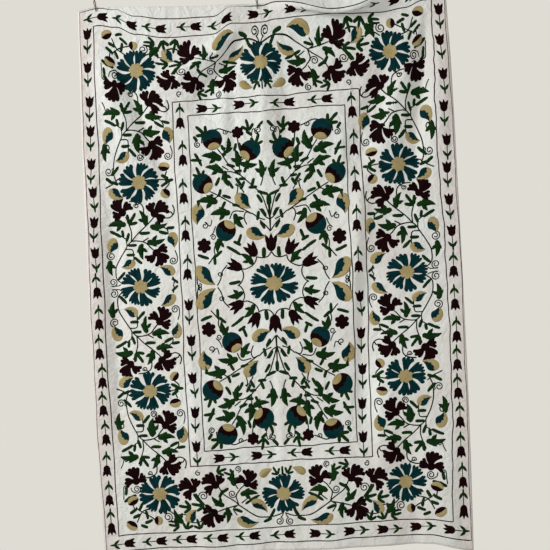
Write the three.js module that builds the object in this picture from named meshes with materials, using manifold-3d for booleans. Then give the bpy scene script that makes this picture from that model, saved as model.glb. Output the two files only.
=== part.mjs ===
// A large embroidered suzani wall hanging, seen from the front along +Y, with +X to the right and +Z up.
// The cotton sheet hangs from three twisted-wire hangers that are threaded through its top border.
// All sizes are in millimetres. "across" and "down" are places on the flat cloth, from the middle of its pattern.

import * as THREE from 'three';
import { mergeVertices } from 'three/addons/utils/BufferGeometryUtils.js';
import Module from 'manifold-3d';

const wasm = await Module();
wasm.setup();

// The flat cloth
const HALF_WIDTH = 730;
const TOP_EDGE = -1152;
const TOP_OUTER_LINE = -1105;
const TOP_INNER_LINE = -1037;
const FIELD_TOP = -714;
const BOTTOM_EDGE = 1063;
const THICKNESS = 1.6;
const COLUMNS = 40; // of the sheet's grid
const ROW_BANDS = [
  { from: TOP_EDGE, to: TOP_OUTER_LINE, rows: 2 },
  { from: TOP_OUTER_LINE, to: TOP_INNER_LINE, rows: 9 },
  { from: TOP_INNER_LINE, to: -240, rows: 19 },
  { from: -240, to: BOTTOM_EDGE, rows: 19 },
];

// How the hung cloth differs from the flat one
const END_NARROWING = 0.018; // the folds draw the two ends in by this share
const SIDE_SHIFT = 10; // the sides sit this far to the right of the middle field
const TOP_TILT = 0.027; // rise to the right of the top border, lost towards the bottom
const STRIP_AT_HANGER = 7; // plain cloth that still shows above the border line at a hanger
const SPAN_SAG = [6, 16]; // sag of the top edge in the left and the right span
const CORNER_DROP = { start: 560, hem: 215, left: 10, right: 34 }; // how far the bottom corners hang down

// How far the top border has dropped below the line through its two corners
const TOP_DROP = [
  { across: -730, drop: 11 },
  { across: -645, drop: 0 },
  { across: -580, drop: 12 },
  { across: -500, drop: 46 },
  { across: -390, drop: 66 },
  { across: -185, drop: 70 },
  { across: -110, drop: 37 },
  { across: 10, drop: 38 },
  { across: 60, drop: 28 },
  { across: 280, drop: 25 },
  { across: 480, drop: 31 },
  { across: 570, drop: 24 },
  { across: 640, drop: 0 },
  { across: 730, drop: 2 },
];

// The pleat that lies across the top border in the right span: it turns up behind the plain edge
const PLEAT = { middle: 312, left: 285, right: 245, turn: 160, sharpness: 1.6, leanBack: 0.35 };
const PLEAT_STEPS = 24;

// Soft folds: each runs from one place on the cloth to another, and stands towards the room or sinks back
const FOLDS = [
  { name: 'left hanger trough', from: [-590, -1000], to: [-366, -325], width: 48, height: -10 },
  { name: 'left hanger ridge', from: [-660, -960], to: [-500, -420], width: 50, height: 9 },
  { name: 'middle hanger ridge', from: [-60, -1060], to: [-400, -780], width: 48, height: 15 },
  { name: 'middle hanger trough', from: [-70, -980], to: [-290, -600], width: 48, height: -13 },
  { name: 'centre ridge', from: [20, -1000], to: [-4, -300], width: 50, height: 10 },
  { name: 'centre trough', from: [96, -900], to: [72, -420], width: 44, height: -6 },
  { name: 'right hanger ridge', from: [610, -1040], to: [450, -520], width: 46, height: 13 },
  { name: 'right hanger trough', from: [560, -960], to: [291, -330], width: 50, height: -15 },
  { name: 'steep trough', from: [655, -1040], to: [530, -240], width: 44, height: -15 },
  { name: 'right edge ridge', from: [710, -960], to: [660, -380], width: 44, height: 9 },
  { name: 'field edge ridge', from: [360, -420], to: [290, 160], width: 46, height: 11 },
  { name: 'long trough', from: [382, -150], to: [325, 720], width: 50, height: -12 },
  { name: 'lower ridge', from: [420, 330], to: [400, 860], width: 46, height: 9 },
  { name: 'left edge trough', from: [-610, -520], to: [-620, 760], width: 46, height: -8 },
  { name: 'left edge ridge', from: [-700, -620], to: [-700, 900], width: 44, height: 6 },
  { name: 'low left ridge', from: [-330, 420], to: [-300, 1063], width: 60, height: 8 },
  { name: 'low middle trough', from: [-70, 560], to: [-50, 1063], width: 58, height: -8 },
  { name: 'low right ridge', from: [200, 620], to: [180, 1063], width: 56, height: 8 },
  { name: 'low right trough', from: [500, 560], to: [485, 1063], width: 52, height: -9 },
  { name: 'corner ridge', from: [640, 640], to: [630, 1063], width: 50, height: 8 },
];
const FOLD_FADE = 0.3; // share of a fold's length over which it rises at each end
const UNDULATION = { height: 4, acrossLength: 1150, acrossPhase: 0.6, downLength: 1500, downPhase: 0.4 };

// The wire hangers
const WIRE = 3.6;
const EYE_RADIUS = 10; // of the wire's centreline
const EYE_END = 0.78 * Math.PI; // where the wire leaves the eye, counted from its top
const EYE_SHARE = 0.2; // share of each leg's length that lies in the eye
const EYE_TO_HOLE = 95;
const NECK_RADIUS = 2.4; // half the distance between the two legs where they twist
const TWIST = { from: 0.22, to: 0.62, turn: 1.5 * Math.PI };
const THREAD_RADIUS = 3.9; // half the distance between the wire's front and back legs at the cloth
const LOWER_BEND = 0.82; // share of the leg after which it turns in through the cloth
const END_GAP = 0.6; // between the wire's two ends, at the top of the eye
const WIRE_STEPS = 56;
const WIRE_SIDES = 8;
const HOLE_RADIUS = 2.4;
const HOLE_DROP = 0.1; // the cloth hangs this far down on the wire
const HOLE_SIDES = 10;
const HOLE_BELOW_LINE = 12;
const HANGERS = [
  { name: 'hanger_left', across: -655, lean: -0.13 },
  { name: 'hanger_centre', across: -8, lean: 0 },
  { name: 'hanger_right', across: 662, lean: 0.05 },
];

const holeDown = TOP_OUTER_LINE + HOLE_BELOW_LINE;

function smooth(t) {
  const c = THREE.MathUtils.clamp(t, 0, 1);
  return c * c * (3 - 2 * c);
}

function topDrop(across) {
  const last = TOP_DROP.length - 1;
  const next = THREE.MathUtils.clamp(TOP_DROP.findIndex((row) => row.across > across), 1, last);
  const end = across >= TOP_DROP[last].across ? last : next;
  const [a, b] = [TOP_DROP[end - 1], TOP_DROP[end]];
  return a.drop + (b.drop - a.drop) * smooth((across - a.across) / (b.across - a.across));
}

function foldDepth(across, down) {
  let depth = UNDULATION.height
    * Math.sin((2 * Math.PI * across) / UNDULATION.acrossLength + UNDULATION.acrossPhase)
    * Math.cos((2 * Math.PI * down) / UNDULATION.downLength + UNDULATION.downPhase);
  for (const fold of FOLDS) {
    const [dx, dy] = [fold.to[0] - fold.from[0], fold.to[1] - fold.from[1]];
    const length = Math.hypot(dx, dy);
    const [px, py] = [across - fold.from[0], down - fold.from[1]];
    const along = (px * dx + py * dy) / (length * length);
    const aside = (px * dy - py * dx) / length;
    const atBottom = fold.to[1] >= BOTTOM_EDGE ? 1 : smooth((1 - along) / FOLD_FADE);
    const fade = smooth(along / FOLD_FADE) * atBottom;
    depth += fold.height * fade * Math.exp(-((aside / fold.width) ** 2));
  }
  return depth;
}

// The pleat's turning angle at a place across the cloth, zero where the border lies flat
function pleatTurn(across) {
  const reach = across < PLEAT.middle ? PLEAT.left : PLEAT.right;
  const share = (across - PLEAT.middle) / reach;
  if (Math.abs(share) >= 1) return 0;
  return THREE.MathUtils.degToRad(PLEAT.turn) * Math.cos((share * Math.PI) / 2) ** PLEAT.sharpness;
}

// Height above the inner line, and distance in front of it, of a place on the top border
function pleatPoint(across, down) {
  const length = TOP_INNER_LINE - TOP_OUTER_LINE;
  const turn = pleatTurn(across);
  const start = down - TOP_OUTER_LINE;
  const step = (length - start) / PLEAT_STEPS;
  let [up, forward] = [0, 0];
  for (let i = 0; i < PLEAT_STEPS; i += 1) {
    const angle = turn * Math.sin((Math.PI * (start + (i + 0.5) * step)) / length) ** 2;
    up += Math.cos(angle) * step;
    forward += Math.sin(angle) * step;
  }
  return { up, forward };
}

function borderHeight(across) {
  return -TOP_INNER_LINE - topDrop(across) + TOP_TILT * across;
}

function outerLineHeight(across) {
  return borderHeight(across) + pleatPoint(across, TOP_OUTER_LINE).up;
}

// The cloth's top edge is drawn straight from hanger to hanger, with a little sag
function topEdgeHeight(across) {
  const posts = HANGERS.map((hanger) => hanger.across);
  if (across <= posts[0] || across >= posts[2]) return outerLineHeight(across) + STRIP_AT_HANGER;
  const span = across < posts[1] ? 0 : 1;
  const share = (across - posts[span]) / (posts[span + 1] - posts[span]);
  const ends = [posts[span], posts[span + 1]].map((post) => outerLineHeight(post) + STRIP_AT_HANGER);
  return ends[0] + (ends[1] - ends[0]) * share - SPAN_SAG[span] * 4 * share * (1 - share);
}

// Where a place on the flat cloth hangs, from the middle of the pattern
function hang(across, down) {
  const lengthways = THREE.MathUtils.clamp(down / -TOP_OUTER_LINE, -1, 1);
  const x = across * (1 - END_NARROWING * lengthways ** 2) + SIDE_SHIFT * (across / HALF_WIDTH) ** 2;
  let forward = foldDepth(across, Math.max(down, TOP_INNER_LINE));
  let z;
  if (down >= TOP_INNER_LINE) {
    const pull = smooth((FIELD_TOP - down) / (FIELD_TOP - TOP_INNER_LINE));
    const tilt = TOP_TILT * THREE.MathUtils.clamp((BOTTOM_EDGE - down) / (BOTTOM_EDGE - TOP_INNER_LINE), 0, 1);
    const corner = across < 0 ? CORNER_DROP.left : CORNER_DROP.right;
    const cornerPull = smooth((Math.abs(across) - CORNER_DROP.start) / (HALF_WIDTH - CORNER_DROP.start));
    const hem = smooth((down - BOTTOM_EDGE) / CORNER_DROP.hem + 1);
    z = -down - pull * topDrop(across) + tilt * across - corner * cornerPull * hem;
  } else if (down >= TOP_OUTER_LINE) {
    const pleat = pleatPoint(across, down);
    z = borderHeight(across) + pleat.up;
    forward += pleat.forward;
  } else {
    const share = (TOP_OUTER_LINE - down) / (TOP_OUTER_LINE - TOP_EDGE);
    const pleat = pleatPoint(across, TOP_OUTER_LINE);
    z = THREE.MathUtils.lerp(borderHeight(across) + pleat.up, topEdgeHeight(across), share);
    forward += pleat.forward * (1 - PLEAT.leanBack * share);
  }
  return new THREE.Vector3(x, -forward, z);
}

// The row frame's origin is the middle of the centre hanger's eye
const centreHole = hang(HANGERS[1].across, holeDown);
const origin = new THREE.Vector3(centreHole.x, centreHole.y, centreHole.z + EYE_TO_HOLE);

function hungPoint(across, down) {
  return hang(across, down).sub(origin);
}

function hungNormal(across, down) {
  const reach = 1.5;
  const sideways = hungPoint(across + reach, down).sub(hungPoint(across - reach, down));
  const downwards = hungPoint(across, down + reach).sub(hungPoint(across, down - reach));
  return downwards.cross(sideways).normalize(); // towards the room
}

// Grid places: even columns, and rows closer together in the pleat and in the top third
function columnPlaces() {
  return Array.from({ length: COLUMNS + 1 }, (_, i) => HALF_WIDTH * ((2 * i) / COLUMNS - 1));
}

function rowPlaces() {
  const places = [TOP_EDGE];
  for (const band of ROW_BANDS) {
    for (let i = 1; i <= band.rows; i += 1) {
      places.push(band.from + ((band.to - band.from) * i) / band.rows);
    }
  }
  return places;
}

// The sheet's front and back skins, joined round the edge. Each grid square is split along
// the diagonal that follows the fold it lies on.
function sheetGeometry() {
  const columns = columnPlaces();
  const rows = rowPlaces();
  const positions = [];
  for (const side of [1, -1]) {
    for (const down of rows) {
      for (const across of columns) {
        const offset = hungNormal(across, down).multiplyScalar((side * THICKNESS) / 2);
        positions.push(...hungPoint(across, down).add(offset).toArray());
      }
    }
  }
  const width = columns.length;
  const back = width * rows.length;
  const depth = (at) => positions[3 * at + 1];
  const index = [];
  const quad = (a, b, c, d) => index.push(a, b, c, a, c, d);
  const skin = (a, b, c, d) => {
    if (Math.abs(depth(a) - depth(c)) <= Math.abs(depth(b) - depth(d))) quad(a, b, c, d);
    else quad(b, c, d, a);
  };
  for (let r = 0; r < rows.length - 1; r += 1) {
    for (let c = 0; c < width - 1; c += 1) {
      const at = r * width + c;
      skin(at, at + width, at + width + 1, at + 1);
      skin(back + at, back + at + 1, back + at + width + 1, back + at + width);
    }
  }
  for (let c = 0; c < width - 1; c += 1) {
    const bottom = (rows.length - 1) * width + c;
    quad(c, c + 1, back + c + 1, back + c);
    quad(bottom + 1, bottom, back + bottom, back + bottom + 1);
  }
  for (let r = 0; r < rows.length - 1; r += 1) {
    const left = r * width;
    const right = left + width - 1;
    quad(left + width, left, back + left, back + left + width);
    quad(right, right + width, back + right + width, back + right);
  }
  const geometry = new THREE.BufferGeometry();
  geometry.setAttribute('position', new THREE.Float32BufferAttribute(positions, 3));
  geometry.setIndex(index);
  return geometry;
}

function toSolid(geometry) {
  const bare = geometry.clone();
  bare.deleteAttribute('normal');
  bare.deleteAttribute('uv');
  const merged = mergeVertices(bare, 1e-3);
  const vertProperties = new Float32Array(merged.attributes.position.array);
  const triVerts = new Uint32Array(merged.index.array);
  return new wasm.Manifold(new wasm.Mesh({ numProp: 3, vertProperties, triVerts }));
}

function fromSolid(solid) {
  const mesh = solid.getMesh();
  const geometry = new THREE.BufferGeometry();
  geometry.setAttribute('position', new THREE.BufferAttribute(mesh.vertProperties, 3));
  geometry.setIndex(new THREE.BufferAttribute(mesh.triVerts, 1));
  return geometry;
}

// The sheet, with a small hole where each wire goes through
function clothGeometry() {
  let cloth = toSolid(sheetGeometry());
  for (const hanger of HANGERS) {
    const hole = hungPoint(hanger.across, holeDown);
    const bore = new THREE.CylinderGeometry(HOLE_RADIUS, HOLE_RADIUS, 10 * THICKNESS, HOLE_SIDES);
    bore.translate(hole.x, hole.y, hole.z - HOLE_DROP);
    cloth = cloth.subtract(toSolid(bore));
  }
  return fromSolid(cloth);
}

// One bent wire: an eye for the nail, a twist of the two legs, and a turn through the cloth.
// Its second leg is the first one turned half way round the vertical.
class HangerCurve extends THREE.Curve {
  constructor(hole, lean) {
    super();
    this.hole = hole;
    this.lean = lean;
  }

  // Distance from the middle, height from the eye's centre and turn, at a share of one leg
  leg(share) {
    if (share < EYE_SHARE) {
      const angle = (share / EYE_SHARE) * EYE_END;
      return { radius: EYE_RADIUS * Math.sin(angle), z: EYE_RADIUS * Math.cos(angle), turn: 0 };
    }
    const along = (share - EYE_SHARE) / (1 - EYE_SHARE);
    const start = EYE_RADIUS * Math.cos(EYE_END);
    const z = start - (EYE_TO_HOLE + start) * Math.sin((along * Math.PI) / 2);
    const neck = THREE.MathUtils.lerp(EYE_RADIUS * Math.sin(EYE_END), NECK_RADIUS, smooth(along / TWIST.from));
    const spread = THREE.MathUtils.lerp(neck, THREAD_RADIUS, smooth((along - TWIST.from) / (TWIST.to - TWIST.from)));
    const bend = Math.max(0, (along - LOWER_BEND) / (1 - LOWER_BEND));
    return {
      radius: spread * Math.sqrt(1 - Math.min(1, bend) ** 2),
      z,
      turn: TWIST.turn * smooth((along - TWIST.from / 2) / (TWIST.to - TWIST.from / 2)),
    };
  }

  getPoint(t) {
    const side = t < 0.5 ? 1 : -1;
    const { radius, z, turn } = this.leg(1 - Math.abs(1 - 2 * t));
    const x = side * radius * Math.cos(turn) + this.lean * (EYE_TO_HOLE + z);
    const y = side * radius * Math.sin(turn);
    return new THREE.Vector3(this.hole.x + x, this.hole.y + y, this.hole.z + EYE_TO_HOLE + z);
  }
}

// The same curve without its first and last fraction, where the wire's two ends meet
class OpenedCurve extends THREE.Curve {
  constructor(whole, trim) {
    super();
    this.whole = whole;
    this.trim = trim;
  }

  getPoint(t) {
    return this.whole.getPointAt(this.trim + t * (1 - 2 * this.trim));
  }
}

function hangerGeometry(hanger) {
  const whole = new HangerCurve(hungPoint(hanger.across, holeDown), hanger.lean);
  const path = new OpenedCurve(whole, END_GAP / 2 / whole.getLength());
  const section = new THREE.Shape();
  section.absarc(0, 0, WIRE / 2, 0, 2 * Math.PI);
  const wire = new THREE.ExtrudeGeometry(section, {
    steps: WIRE_STEPS,
    curveSegments: WIRE_SIDES / 2,
    bevelEnabled: false,
    extrudePath: path,
  });
  return fromSolid(toSolid(wire));
}

const cottonMaterial = new THREE.MeshStandardMaterial({ color: 0xe3ded8, roughness: 0.95, metalness: 0 });
const wireMaterial = new THREE.MeshStandardMaterial({ color: 0x4a443e, roughness: 0.55, metalness: 0.8 });

const hanging = new THREE.Group();

const cloth = new THREE.Mesh(clothGeometry(), cottonMaterial);
cloth.name = 'cloth';
hanging.add(cloth);

for (const hanger of HANGERS) {
  const wire = new THREE.Mesh(hangerGeometry(hanger), wireMaterial);
  wire.name = hanger.name;
  hanging.add(wire);
}

export default hanging;
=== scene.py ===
# %% [markdown]
# A suzani is a large cotton cloth covered with chain-stitch embroidery. This one is a wall hanging.
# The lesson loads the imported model, works out how the cloth hangs, lays the stitching on that same surface,
# and gives each thread its own finish. Sizes are in millimetres on the flat cloth until the last moment.

import bpy
import numpy as np
from mathutils import Matrix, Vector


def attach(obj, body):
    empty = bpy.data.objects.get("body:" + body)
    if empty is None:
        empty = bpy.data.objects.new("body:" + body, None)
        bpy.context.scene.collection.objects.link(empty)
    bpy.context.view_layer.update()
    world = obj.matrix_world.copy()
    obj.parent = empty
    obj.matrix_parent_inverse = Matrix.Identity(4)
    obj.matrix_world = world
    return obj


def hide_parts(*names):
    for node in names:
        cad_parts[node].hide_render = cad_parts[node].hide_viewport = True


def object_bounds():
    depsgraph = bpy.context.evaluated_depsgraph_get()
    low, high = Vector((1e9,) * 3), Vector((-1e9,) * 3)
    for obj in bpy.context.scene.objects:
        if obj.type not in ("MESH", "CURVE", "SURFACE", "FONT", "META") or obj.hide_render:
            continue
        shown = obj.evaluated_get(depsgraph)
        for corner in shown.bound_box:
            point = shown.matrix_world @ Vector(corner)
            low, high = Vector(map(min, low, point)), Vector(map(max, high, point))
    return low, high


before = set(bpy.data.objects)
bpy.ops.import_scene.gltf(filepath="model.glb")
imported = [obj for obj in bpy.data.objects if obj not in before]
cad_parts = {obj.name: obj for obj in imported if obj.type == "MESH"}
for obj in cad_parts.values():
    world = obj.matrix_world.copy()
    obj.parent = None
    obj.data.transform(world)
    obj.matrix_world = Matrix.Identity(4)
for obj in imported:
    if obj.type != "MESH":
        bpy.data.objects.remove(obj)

CAD_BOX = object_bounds()
MM = 0.001
chance = np.random.default_rng(41)
print("CAD box in metres:", [[round(v, 3) for v in corner] for corner in CAD_BOX])

# %% [markdown]
# The cloth is one long sheet held at three places. Each place on it has two flat coordinates:
# how far across from the middle, and how far down. A function turns these into a point in the room.
# A cloth simulation would also drape it, but the folds of this hanging are known, so each one is a
# row in a table, a soft ridge or trough along a line, and the stitching can follow the same function.

# %% Sizes of the hung cloth
HALF_WIDTH = 730.0
TOP_EDGE = -1152.0
TOP_OUTER_LINE = -1105.0
TOP_INNER_LINE = -1037.0
FIELD_TOP = -714.0
BOTTOM_EDGE = 1063.0
THICKNESS = 1.6
END_NARROWING = 0.018
SIDE_SHIFT = 10.0
TOP_TILT = 0.027
STRIP_AT_HANGER = 7.0
SPAN_SAG = (6.0, 16.0)
HANGER_PLACES = (-655.0, -8.0, 662.0)
HOLE_DOWN = TOP_OUTER_LINE + 12.0
EYE_TO_HOLE = 95.0
CORNER_START = 560.0
CORNER_HEM = 215.0
CORNER_DROP = {"left": 10.0, "right": 34.0}
PLEAT_MIDDLE = 312.0
PLEAT_REACH = {"left": 285.0, "right": 245.0}
PLEAT_TURN = np.radians(160.0)
PLEAT_SHARPNESS = 1.6
PLEAT_LEAN = 0.35
PLEAT_STEPS = 24

# columns: across, drop of the top border
TOP_DROP = np.array([
    (-730, 11), (-645, 0), (-580, 12), (-500, 46), (-390, 66), (-185, 70), (-110, 37),
    (10, 38), (60, 28), (280, 25), (480, 31), (570, 24), (640, 0), (730, 2),
], dtype=float)

# columns: from across, from down, to across, to down, width, height towards the room
FOLDS = [
    (-590, -1000, -366, -325, 48, -10), (-660, -960, -500, -420, 50, 9),
    (-60, -1060, -400, -780, 48, 15), (-70, -980, -290, -600, 48, -13),
    (20, -1000, -4, -300, 50, 10), (96, -900, 72, -420, 44, -6),
    (610, -1040, 450, -520, 46, 13), (560, -960, 291, -330, 50, -15),
    (655, -1040, 530, -240, 44, -15), (710, -960, 660, -380, 44, 9),
    (360, -420, 290, 160, 46, 11), (382, -150, 325, 720, 50, -12),
    (420, 330, 400, 860, 46, 9), (-610, -520, -620, 760, 46, -8),
    (-700, -620, -700, 900, 44, 6), (-330, 420, -300, 1063, 60, 8),
    (-70, 560, -50, 1063, 58, -8), (200, 620, 180, 1063, 56, 8),
    (500, 560, 485, 1063, 52, -9), (640, 640, 630, 1063, 50, 8),
]
# narrower creases that only the finished cloth has, in the same columns
CREASES = [
    (-640, -1050, -330, -240, 19, -4.2), (-20, -1060, -330, -640, 18, -5.2),
    (-30, -1050, -250, -880, 16, 3.4), (0, -1040, -20, -330, 15, 3.0),
    (-118, -860, -128, -330, 19, -4.2), (-150, -880, -170, -420, 18, 3.2),
    (640, -1050, 300, -260, 21, -6.2), (655, -1050, 545, -150, 19, -5.6),
    (650, -1050, 505, -470, 17, 4.0), (300, -700, 280, -150, 18, 3.0),
    (365, -420, 300, 240, 19, 3.8), (352, -150, 310, 700, 20, -4.4),
    (8, 240, 0, 760, 14, 2.6), (-22, 260, -28, 760, 14, -2.4),
    (392, 330, 372, 860, 18, 3.4), (-632, -520, -640, 760, 18, -3.4),
    (-340, -520, -334, 820, 18, 2.8), (-180, 900, -200, 1063, 20, -3.6),
    (60, 880, 66, 1063, 20, -3.4), (520, 860, 512, 1063, 20, -3.4),
]
FOLD_FADE = 0.3
CRUMPLE = 0.75


def smooth(share):
    """A soft step from 0 to 1: three times the square less twice the cube of the clamped share."""
    kept = np.clip(share, 0.0, 1.0)
    return kept * kept * (3.0 - 2.0 * kept)


def top_drop(across):
    """Drop of the top border: soft steps between the rows of TOP_DROP."""
    places, drops = TOP_DROP.T
    row = np.clip(np.searchsorted(places, across, side="right"), 1, len(places) - 1)
    share = (across - places[row - 1]) / (places[row] - places[row - 1])
    return drops[row - 1] + (drops[row] - drops[row - 1]) * smooth(share)


def crumple(across, down):
    """Small soft dents of washed cotton: the product of two waves, each pushed sideways by another one."""
    wave = np.sin(across / 12 + 2.2 * np.sin(down / 41)) * np.sin(down / 19 + 1.9 * np.sin(across / 33))
    return CRUMPLE * wave * smooth((down - TOP_INNER_LINE) / 60)


def fold_depth(across, down):
    """Sum of bell-shaped ridges and troughs along straight lines, each faded in and out at its ends."""
    depth = 4.0 * np.sin(2 * np.pi * across / 1150 + 0.6) * np.cos(2 * np.pi * down / 1500 + 0.4)
    depth += crumple(across, down)
    for from_a, from_d, to_a, to_d, width, height in FOLDS + CREASES:
        run_a, run_d = to_a - from_a, to_d - from_d
        length = np.hypot(run_a, run_d)
        along = ((across - from_a) * run_a + (down - from_d) * run_d) / length**2
        aside = ((across - from_a) * run_d - (down - from_d) * run_a) / length
        end_fade = 1.0 if to_d >= BOTTOM_EDGE else smooth((1.0 - along) / FOLD_FADE)
        depth += height * smooth(along / FOLD_FADE) * end_fade * np.exp(-((aside / width) ** 2))
    return depth


def pleat(across, down):
    """Height above the inner line and distance in front of it on the top border. The border's direction
    turns by a squared-sine angle and back, and its cosine and sine are added up along the way."""
    length = TOP_INNER_LINE - TOP_OUTER_LINE
    reach = np.where(across < PLEAT_MIDDLE, PLEAT_REACH["left"], PLEAT_REACH["right"])
    share = np.clip((across - PLEAT_MIDDLE) / reach, -1.0, 1.0)
    turn = PLEAT_TURN * np.cos(share * np.pi / 2) ** PLEAT_SHARPNESS
    start = np.clip(down, TOP_OUTER_LINE, TOP_INNER_LINE) - TOP_OUTER_LINE
    step = (length - start) / PLEAT_STEPS
    middles = start[:, None] + (np.arange(PLEAT_STEPS) + 0.5) * step[:, None]
    angle = turn[:, None] * np.sin(np.pi * middles / length) ** 2
    return (np.cos(angle) * step[:, None]).sum(1), (np.sin(angle) * step[:, None]).sum(1)


def border_height(across):
    return -TOP_INNER_LINE - top_drop(across) + TOP_TILT * across


def outer_line_height(across):
    return border_height(across) + pleat(across, np.full(across.shape, TOP_OUTER_LINE))[0]


def top_edge_height(across):
    """A straight pull from hanger to hanger with a parabolic sag, and a narrow strip outside them."""
    posts = np.array(HANGER_PLACES)
    ends = outer_line_height(posts) + STRIP_AT_HANGER
    height = outer_line_height(across) + STRIP_AT_HANGER
    for span in (0, 1):
        share = (across - posts[span]) / (posts[span + 1] - posts[span])
        straight = ends[span] + (ends[span + 1] - ends[span]) * share
        pulled = straight - SPAN_SAG[span] * 4 * share * (1 - share)
        height = np.where((share >= 0) & (share <= 1), pulled, height)
    return height


def hang_flat(across, down):
    """Where a flat place hangs, in millimetres from the middle of the pattern: across, forward, up."""
    lengthways = np.clip(down / -TOP_OUTER_LINE, -1.0, 1.0)
    x = across * (1 - END_NARROWING * lengthways**2) + SIDE_SHIFT * (across / HALF_WIDTH) ** 2
    forward = fold_depth(across, np.maximum(down, TOP_INNER_LINE))
    pull = smooth((FIELD_TOP - down) / (FIELD_TOP - TOP_INNER_LINE))
    tilt = TOP_TILT * np.clip((BOTTOM_EDGE - down) / (BOTTOM_EDGE - TOP_INNER_LINE), 0.0, 1.0)
    corner = np.where(across < 0, CORNER_DROP["left"], CORNER_DROP["right"])
    corner = corner * smooth((np.abs(across) - CORNER_START) / (HALF_WIDTH - CORNER_START))
    corner = corner * smooth((down - BOTTOM_EDGE) / CORNER_HEM + 1)
    z = -down - pull * top_drop(across) + tilt * across - corner
    top = down < TOP_INNER_LINE
    if top.any():
        a, d = across[top], down[top]
        up, out = pleat(a, d)
        share = np.clip((TOP_OUTER_LINE - d) / (TOP_OUTER_LINE - TOP_EDGE), 0.0, 1.0)
        at_line = border_height(a) + up
        z[top] = np.where(share > 0, at_line + (top_edge_height(a) - at_line) * share, at_line)
        forward[top] += out * (1 - PLEAT_LEAN * share)
    return x, forward, z


def origin_shift():
    """The model's origin is the centre hanger's eye, straight above its hole in the cloth."""
    x, forward, z = hang_flat(np.array([HANGER_PLACES[1]]), np.array([HOLE_DOWN]))
    return np.array([x[0], -forward_without_creases(HANGER_PLACES[1], HOLE_DOWN), z[0] + EYE_TO_HOLE])


def forward_without_creases(across, down):
    """Depth at one place from the wide folds alone, as the solid model has it."""
    kept = CREASES[:]
    CREASES.clear()
    depth = hang_flat(np.array([float(across)]), np.array([float(down)]))[1][0]
    CREASES.extend(kept)
    return depth


ORIGIN = origin_shift()


def hang(across, down):
    """Points in the model's frame, in metres, for arrays of flat places."""
    x, forward, z = hang_flat(across, down)
    return (np.stack([x, -forward, z], axis=-1) - ORIGIN) * MM


def hang_with_normal(across, down, reach=1.5):
    """Points and their unit normals towards the room, from two short steps across and down."""
    here = hang(across, down)
    sideways = hang(across + reach, down) - here
    downwards = hang(across, down + reach) - here
    normal = np.cross(downwards, sideways)
    return here, normal / np.linalg.norm(normal, axis=1, keepdims=True)


corner_check = hang(np.array([-HALF_WIDTH, HALF_WIDTH]), np.array([BOTTOM_EDGE, BOTTOM_EDGE]))
print("bottom corners hang at", corner_check.round(3).tolist())

# %% [markdown]
# The embroidery is a raised layer of thread. Every leaf and petal is a small patch: a grid of flat places,
# a height above the cloth for each, and the direction its rows of stitches run. A flat pattern painted on
# the cloth would look the same from afar, but raised patches catch the light at their edges.
# One quarter of the pattern is drawn and repeated four times, because the maker mirrored it too.

# %% Outlines of leaves and petals
RIM = -0.05
OVERLAY = 0.9
THREAD_HEIGHT = 0.9
NARROWEST = 0.05

OUTLINES = {
    "leaf": lambda t: np.sin(np.pi * t**0.85) ** 0.9,
    "stick": lambda t: np.sqrt(1 - np.abs(2 * t - 1) ** 5),
    "round": lambda t: np.sqrt(1 - (2 * t - 1) ** 2),
    "drop": lambda t: 2.66 * t**0.5 * (1 - t) ** 1.06,
    "blade": lambda t: 1.83 * t**0.36 * (1 - t) ** 0.72,
}


def turned(vector):
    return np.stack([-vector[..., 1], vector[..., 0]], axis=-1)


def heading(degrees):
    return np.array([np.cos(np.radians(degrees)), np.sin(np.radians(degrees))])


def lobe(
    thread, start, end, width, outline="leaf", bow=0.0, sides=(-1, 1),
    rows=8, columns=3, height=THREAD_HEIGHT, foot=RIM,
):
    """A bowed patch between two places. Its spine is the straight line plus a parabola of `bow` times its
    length, its half width follows the outline, and `sides` says which share of the width it covers."""
    start, end = np.array(start, float), np.array(end, float)
    t = (1 - np.cos(np.pi * np.linspace(0, 1, rows))) / 2
    run = end - start
    spine = start + t[:, None] * run + (4 * bow * t * (1 - t))[:, None] * turned(run)
    slope = run + (4 * bow * (1 - 2 * t))[:, None] * turned(run)
    aside = turned(slope) / np.linalg.norm(slope, axis=1, keepdims=True)
    half = width / 2 * np.maximum(OUTLINES[outline](t), NARROWEST)
    low, high = (side(t) if callable(side) else np.full(rows, float(side)) for side in sides)
    q = -np.cos(np.pi * np.linspace(0, 1, columns))
    s = low[:, None] + (high - low)[:, None] * (q + 1) / 2
    spots = spine[:, None] + aside[:, None] * (s * half[:, None])[..., None]
    dome = np.sqrt(1 - q**2)[None] * (1 - (2 * t - 1) ** 2)[:, None] ** 0.25
    along = (t * np.linalg.norm(run))[:, None]
    rows_of_stitch = np.stack(np.broadcast_arrays(along, s * half[:, None]), axis=-1)
    return [(thread, spots, foot + (height - foot) * dome, rows_of_stitch)]


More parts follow.
